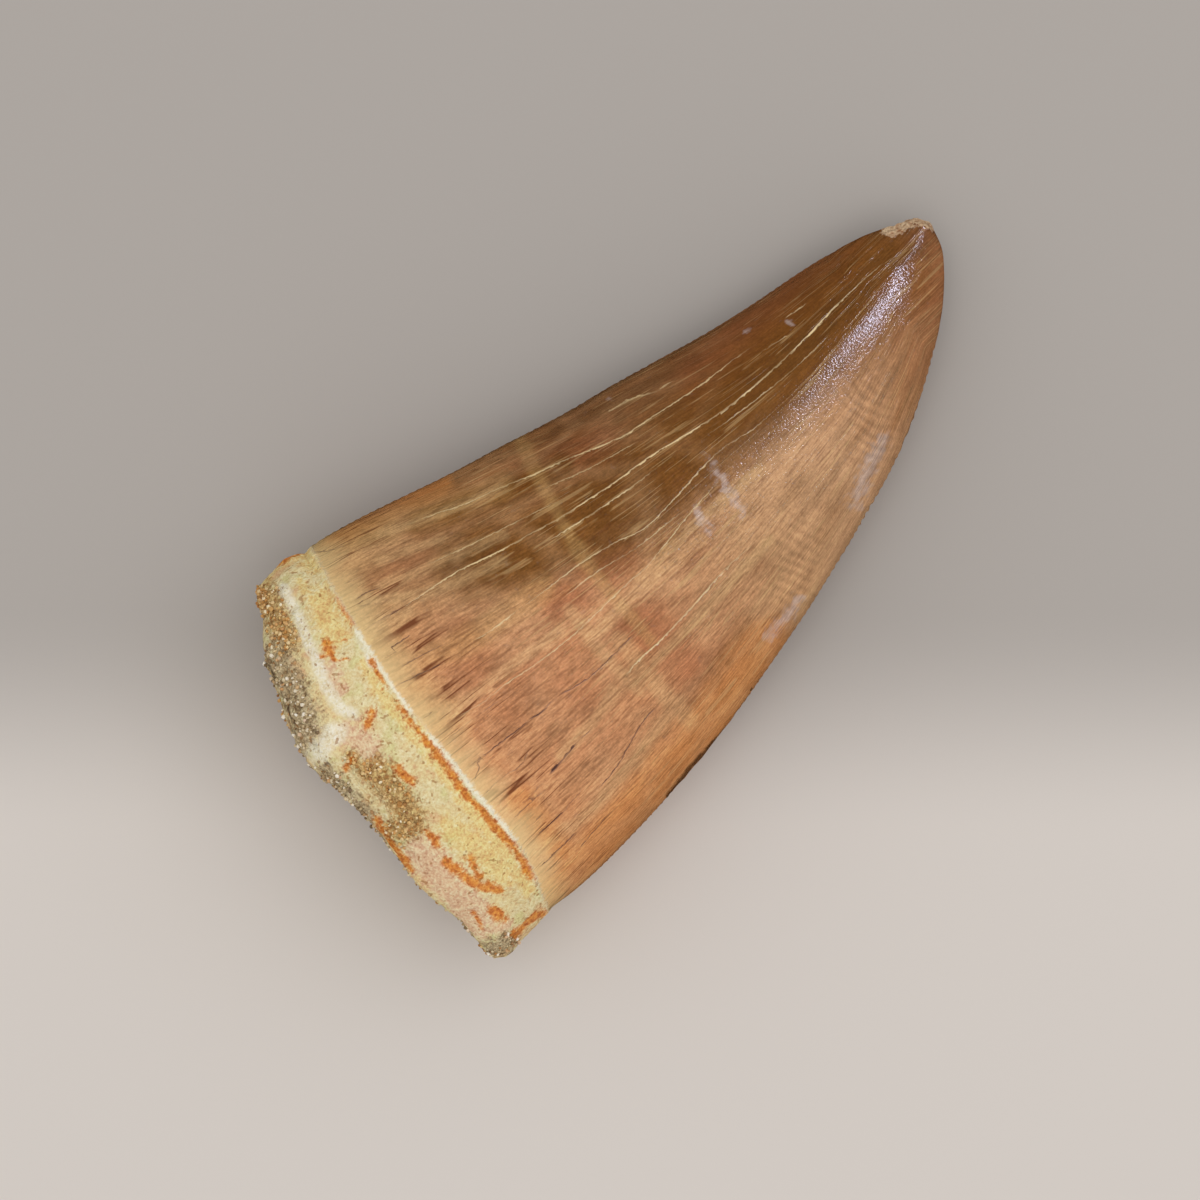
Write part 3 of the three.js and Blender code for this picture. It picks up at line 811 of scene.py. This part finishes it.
# Towards its ragged foot the enamel thins and pales, and it ends in a white line of bare rim.
# All of these are in millimetres past the foot.
RAGGED_BY_GRIT_MM, RAGGED_BY_RIBS_MM = 0.16, 0.14
ENAMEL_STARTS_MM = (0.1, 0.2)
PALE_FOOT_MM = (0.2, 2.4)
PALE_FOOT_FRAY_MM = 1.2
FOOT_LINE_AT_MM = 0.12
FOOT_LINE_HALF_WIDTH_MM = (0.04, 0.2)

ragged_foot = add("Math", grain["grit"], RAGGED_BY_GRIT_MM, foot_note, operation="MULTIPLY_ADD")
ragged_foot = add("Math", ribs, RAGGED_BY_RIBS_MM, ragged_foot, operation="MULTIPLY_ADD")
is_crown = add("MapRange", ragged_foot, *ENAMEL_STARTS_MM)
faded_foot = add(
    "Math", grain["streaks"], PALE_FOOT_FRAY_MM, ragged_foot, operation="MULTIPLY_ADD"
)
fading = add("MapRange", faded_foot, *PALE_FOOT_MM, 0.75, 0.0)
crown = add("Mix", fading, crown, linear("#e6cb90"), data_type="RGBA")
crown = add("HueSaturation", 0.5, 0.99, 1.1, 1.0, crown)
body = add("Mix", is_crown, root, crown, data_type="RGBA")
off_line = add("Math", ragged_foot, FOOT_LINE_AT_MM, operation="SUBTRACT")
off_line = add("Math", off_line, operation="ABSOLUTE")
line_strength = add("MapRange", chalk_note, 0.0, 0.4, 0.25, 1.0)
line_gaps = add("MapRange", grain["crumbs"], 0.1, 0.4)
line_strength = add("Math", line_strength, line_gaps, operation="MULTIPLY")
foot_line = add("MapRange", off_line, *FOOT_LINE_HALF_WIDTH_MM, 0.7, 0.0)
foot_line = add("Math", foot_line, line_strength, operation="MULTIPLY")
body = add("Mix", foot_line, body, linear("#f6efd6"), data_type="RGBA")

# Where the enamel came off at the point, bare grainy stone shows.
broken = add("Math", tip_note, 1.15, operation="MULTIPLY")
broken = add("Math", broken, fray, operation="SUBTRACT")
broken = add("MapRange", broken, 0.0, 0.15)
tip_stone = add("Mix", grain["grit"], linear("#9a6844"), linear("#ecd0aa"), data_type="RGBA")
body = add("Mix", broken, body, tip_stone, data_type="RGBA")

# The cracks are filled with fine pale sediment, or stained dark. They wander a little, widen
# and narrow like beads on a string, and are worn away in places.
WANDER_MM = 0.07
CRACK_SOFT_MM = (-0.02, 0.025)
CRACK_LIMIT_MM = 0.16

wobble = add("Math", grain["beads"], WANDER_MM, -WANDER_MM / 2, operation="MULTIPLY_ADD")
crack_gap = add("Math", side_note, wobble, operation="ADD")
crack_gap = add("Math", crack_gap, operation="ABSOLUTE")
crack_half = add("Math", grain["beads"], 1.0, 0.4, operation="MULTIPLY_ADD")
crack_half = add("Math", crack_half, width_note, operation="MULTIPLY")
crack_fill = add("Math", crack_half, crack_gap, operation="SUBTRACT")
crack_fill = add("MapRange", crack_fill, *CRACK_SOFT_MM)
crack_near = add("Math", near_note, CRACK_LIMIT_MM, operation="LESS_THAN")
crack_worn = add("MapRange", grain["thread_gaps"], 0.25, 0.55, 0.35, 1.0)
for share in (crack_near, strength_note, crack_worn):
    crack_fill = add("Math", crack_fill, share, operation="MULTIPLY")
crack_colour = add("Mix", light_note, linear("#5a2a10"), linear("#e8cb94"), data_type="RGBA")
body = add("Mix", crack_fill, body, crack_colour, data_type="RGBA")

# Painted shade: the fore edge where it turns under, a notch in it, and the root's rim are darkened
# in colour to stand in for their shadow.
shaded = add("Math", grain["grit"], 0.3, shade_note, operation="MULTIPLY_ADD")
shaded = add("MapRange", shaded, 0.45, 0.85, 0.0, 0.8)
body = add("Mix", shaded, body, linear("#472812"), data_type="RGBA")

# The enamel is polished, least on its ribs. Bare stone is dull, and hardly mirrors at all.
BARE_ROUGHNESS = 0.8
CRACK_ROUGHNESS = 0.7
rough = add("Math", ribs, 0.1, 0.1, operation="MULTIPLY_ADD")
rough = add("Mix", is_crown, BARE_ROUGHNESS, rough, data_type="FLOAT")
rough = add("Mix", broken, rough, BARE_ROUGHNESS, data_type="FLOAT")
polish = add("MapRange", rough, 0.3, 0.6, 0.5, 0.08)
rough = add("Mix", crack_fill, rough, CRACK_ROUGHNESS, data_type="FLOAT")

# The depth of each kind of relief that is too fine for the mesh, in millimetres.
RIB_MM = 0.008
ENAMEL_DUST_MM = 0.008
THREAD_MM = 0.008
ROOT_MM, CRUST_MM = 0.04, 0.22
GRIT_MM = 0.03
ROOT_DUST_MM = 0.012
TIP_STONE_MM = 0.12
CRACK_MM = 0.02

enamel_height = add("Math", ribs, RIB_MM, operation="MULTIPLY")
enamel_height = add("Math", grain["dust"], ENAMEL_DUST_MM, enamel_height, operation="MULTIPLY_ADD")
enamel_height = add("Math", thread, -THREAD_MM, enamel_height, operation="MULTIPLY_ADD")
crusted = add("Math", ochre_note, olive_sand_note, operation="MAXIMUM")
crust_depth = add("MapRange", crusted, 0.1, 0.6, ROOT_MM, CRUST_MM)
root_height = add("Math", grain["crumbs"], crust_depth, operation="MULTIPLY")
root_height = add("Math", grain["grit"], GRIT_MM, root_height, operation="MULTIPLY_ADD")
root_height = add("Math", grain["dust"], ROOT_DUST_MM, root_height, operation="MULTIPLY_ADD")
height = add("Mix", is_crown, root_height, enamel_height, data_type="FLOAT")
tip_depth = add("Math", grain["grit"], TIP_STONE_MM, operation="MULTIPLY")
height = add("Mix", broken, height, tip_depth, data_type="FLOAT")
height = add("Math", crack_fill, -CRACK_MM, height, operation="MULTIPLY_ADD")
bump = add("Bump", 1.0, MM, None, height)

shader = tree.nodes.new("ShaderNodeBsdfPrincipled")
shader.inputs["IOR"].default_value = APATITE_IOR
tree.links.new(body, shader.inputs["Base Color"])
tree.links.new(rough, shader.inputs["Roughness"])
tree.links.new(polish, shader.inputs["Specular IOR Level"])
tree.links.new(bump, shader.inputs["Normal"])
surface = tree.nodes.new("ShaderNodeOutputMaterial")
tree.links.new(shader.outputs["BSDF"], surface.inputs["Surface"])

tooth.data.materials.clear()
tooth.data.materials.append(enamel)
bpy.ops.object.shade_smooth()
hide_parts("mosasaur_tooth")
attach(tooth, "root")

# The sand: grains of quartz and phosphate that are cemented to the root and fill its broken
# end. One angular grain is modelled and copied, each copy turned and sized on its own.
GRAIN_COUNT = 3200
GRAIN_RADII_MM = (0.05, 0.12)
GRAIN_SUNK = 0.5  # share of its radius that a grain is sunk in
GRAIN_STRETCH = (0.75, 0.5)  # along each of its axes: the least, and how much more at most
GRAIN_RAGGED = (0.85, 0.3)  # the same at each corner
BARE_BELOW = 0.4  # a stain this faint carries no grains
CROWDED_ABOVE = 0.3  # this much stronger, it carries as many as anywhere
HEAPS_PER_MM = 1.5

bpy.ops.object.select_all(action="DESELECT")
bpy.ops.mesh.primitive_ico_sphere_add(subdivisions=1, radius=1)
pattern = bpy.context.object
grain_corners = places_of(pattern.data) * MM
grain_faces = np.array([tuple(face.vertices) for face in pattern.data.polygons])
bpy.data.objects.remove(pattern)

chance = np.random.default_rng(7)
tooth.data.calc_loop_triangles()
corners_of = np.empty(len(tooth.data.loop_triangles) * 3, int)
tooth.data.loop_triangles.foreach_get("vertices", corners_of)
corners_of = corners_of.reshape(-1, 3)
outward = outward_of(tooth.data)
a, b, c = (places[corners_of[:, i]] for i in range(3))
area = np.linalg.norm(np.cross(b - a, c - a), axis=1) / 2
sandiness = np.maximum(stains["ochre_sand"], 0.9 * stains["olive_sand"])
sandiness = np.clip(sandiness - BARE_BELOW, 0, CROWDED_ABOVE)[corners_of].mean(axis=1)
sandiness *= 0.5 + np.clip(lumps((a + b + c) / 3, HEAPS_PER_MM, 40.0), -0.5, 0.6)
weight = area * np.maximum(sandiness, 0)
picked = chance.choice(len(weight), GRAIN_COUNT, p=weight / weight.sum())
shares = chance.dirichlet((1, 1, 1), GRAIN_COUNT)
spots = np.einsum("ij,ijk->ik", shares, places[corners_of[picked]])
facing = np.einsum("ij,ijk->ik", shares, outward[corners_of[picked]])
facing /= np.linalg.norm(facing, axis=1)[:, None]
least, most = GRAIN_RADII_MM
radii = least + (most - least) * chance.random(GRAIN_COUNT) ** 2
centres = spots + facing * (radii * (1 - GRAIN_SUNK))[:, None]

turns = np.linalg.qr(chance.normal(size=(GRAIN_COUNT, 3, 3)))[0]
turns *= np.sign(np.linalg.det(turns))[:, None, None]
least, more = GRAIN_STRETCH
stretch = least + more * chance.random((GRAIN_COUNT, 1, 3))
least, more = GRAIN_RAGGED
ragged_corners = least + more * chance.random((GRAIN_COUNT, len(grain_corners), 1))
grains = grain_corners[None] * stretch * ragged_corners * radii[:, None, None]
grains = np.einsum("nij,nkj->nki", turns, grains) + centres[:, None]
low_corner = np.array(cad_bounds[0]) / MM
grains = np.maximum(grains.reshape(-1, 3), low_corner)  # none goes into the floor
offsets = np.arange(GRAIN_COUNT)[:, None, None] * len(grain_corners)
sand_faces = (grain_faces[None] + offsets).reshape(-1, 3)
sand_mesh = bpy.data.meshes.new("sand_grains")
sand_mesh.from_pydata((grains * MM).tolist(), [], sand_faces.tolist())
tone = np.repeat(chance.random(GRAIN_COUNT), len(grain_corners))
hue = np.repeat(chance.random(GRAIN_COUNT), len(grain_corners))
ochre = np.repeat(stains["ochre_sand"][corners_of[picked, 0]], len(grain_corners))
note_on(sand_mesh, "grain", tone, hue, ochre)
sand = bpy.data.objects.new("sand_grains", sand_mesh)
bpy.context.scene.collection.objects.link(sand)

# Cemented sand: dull grains of many browns, with a few nearly white ones.
QUARTZ_IOR = 1.54
SAND_ROUGHNESS = 0.55
MOTTLES_PER_MM = 9.0
MOTTLE_MM = 0.02

cemented_sand, tree = new_material("cemented_sand")
note = add("Attribute", attribute_name="grain", attribute_type="GEOMETRY")[1]
tone_share, hue_share, ochre_share = add("SeparateXYZ", note)
olive_grain = add("ValToRGB", tone_share, stops=[
    (0.0, "#7a6140"), (0.3, "#ab9068"), (0.6, "#cfb98f"), (0.85, "#e0d0b2"), (1.0, "#f2e9d8"),
])[0]
ochre_grain = add("ValToRGB", tone_share, stops=[
    (0.0, "#946430"), (0.25, "#c08a46"), (0.55, "#dbb06c"), (0.85, "#e4ca96"), (1.0, "#f4eacd"),
])[0]
is_ochre = add("MapRange", ochre_share, 0.15, 0.4)
sand_colour = add("Mix", is_ochre, olive_grain, ochre_grain, data_type="RGBA")
stained = add("MapRange", hue_share, 0.75, 1.0, 0.0, 0.6)
sand_colour = add("Mix", stained, sand_colour, linear("#c9843a"), data_type="RGBA")
mottle = add("TexNoise", add("TexCoord")[3], MOTTLES_PER_MM / MM, 2.0)[0]
sand_colour = add("Mix", 0.4, sand_colour, mottle, data_type="RGBA", blend_type="OVERLAY")
mottle_height = add("Math", mottle, MOTTLE_MM, operation="MULTIPLY")
bump = add("Bump", 0.6, MM, None, mottle_height)
shader = tree.nodes.new("ShaderNodeBsdfPrincipled")
shader.inputs["Roughness"].default_value = SAND_ROUGHNESS
shader.inputs["IOR"].default_value = QUARTZ_IOR
tree.links.new(sand_colour, shader.inputs["Base Color"])
tree.links.new(bump, shader.inputs["Normal"])
surface = tree.nodes.new("ShaderNodeOutputMaterial")
tree.links.new(shader.outputs["BSDF"], surface.inputs["Surface"])
sand.data.materials.append(cemented_sand)
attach(sand, "root")

# The floor: a sheet of matt paper, darker towards the top of the view by painted shade, a fall-off
# of light painted into its colour.
FLOOR_MM = 4000
DARKENS_MM = (-16, -4)  # up the view from the tooth's middle
PALE_PAPER, PAINTED_SHADE_PAPER = "#d0c8c1", "#aba49e"
PAPER_ROUGHNESS = 0.9
PAPER_SHINE = 0.2

bpy.ops.object.select_all(action="DESELECT")
bpy.ops.mesh.primitive_plane_add(size=FLOOR_MM * MM)
floor = bpy.context.object
floor.name = "floor"
paper, tree = new_material("matt_paper")
turned = add("Mapping", add("TexCoord")[3], None, (0, 0, ROLL))
_, up_view, _ = add("SeparateXYZ", turned)
start, end = (place * MM for place in DARKENS_MM)
up_share = add("MapRange", up_view, start, end, interpolation_type="SMOOTHSTEP")
paper_colour = add("ValToRGB", up_share, stops=[(0.0, PALE_PAPER), (1.0, PAINTED_SHADE_PAPER)])[0]
shader = tree.nodes.new("ShaderNodeBsdfPrincipled")
shader.inputs["Roughness"].default_value = PAPER_ROUGHNESS
shader.inputs["Specular IOR Level"].default_value = PAPER_SHINE
tree.links.new(paper_colour, shader.inputs["Base Color"])
surface = tree.nodes.new("ShaderNodeOutputMaterial")
tree.links.new(shader.outputs["BSDF"], surface.inputs["Surface"])
floor.data.materials.append(paper)
floor.visible_glossy = False

# The light: a broad soft panel, a strip lamp that gives the enamel its glint, and even light
# all round. Only the strip lamp is mirrored in the enamel. Each lamp is given by its degrees
# from upright and up from the view's right, metres away, two sides in metres, watts and colour.
LAMPS = {
    "soft_panel": (12, 14, 0.7, 0.8, 0.8, 1.9, "#fffdfa"),
    "strip_lamp": (51, 31, 0.6, 0.22, 0.018, 2.0, "#e2e4ff"),
}
FILL = 0.77
FILL_COLOUR = (0.98, 0.99, 1.0, 1)
for name, (tilt, turn, distance, length, width, watts, code) in LAMPS.items():
    tilt, turn = math.radians(tilt), math.radians(turn)
    sideways = math.cos(turn) * image_right + math.sin(turn) * image_up
    way = Vector((*(sideways * math.sin(tilt)), math.cos(tilt)))
    light = bpy.data.lights.new(name, "AREA")
    light.shape = "RECTANGLE"
    light.size = length
    light.size_y = width
    light.energy = watts
    light.color = linear(code)[:3]
    lamp = bpy.data.objects.new(name, light)
    lamp.location = way * distance
    lamp.rotation_euler = way.to_track_quat("Z", "Y").to_euler()
    lamp.visible_glossy = name == "strip_lamp"
    lamp.visible_diffuse = name == "soft_panel"
    bpy.context.scene.collection.objects.link(lamp)

world = bpy.data.worlds.new("studio")
world.use_nodes = True
background = world.node_tree.nodes["Background"]
background.inputs["Color"].default_value = FILL_COLOUR
background.inputs["Strength"].default_value = FILL
bpy.context.scene.world = world
world.cycles_visibility.glossy = False
bpy.context.scene.view_settings.view_transform = "Standard"

bpy.context.view_layer.update()
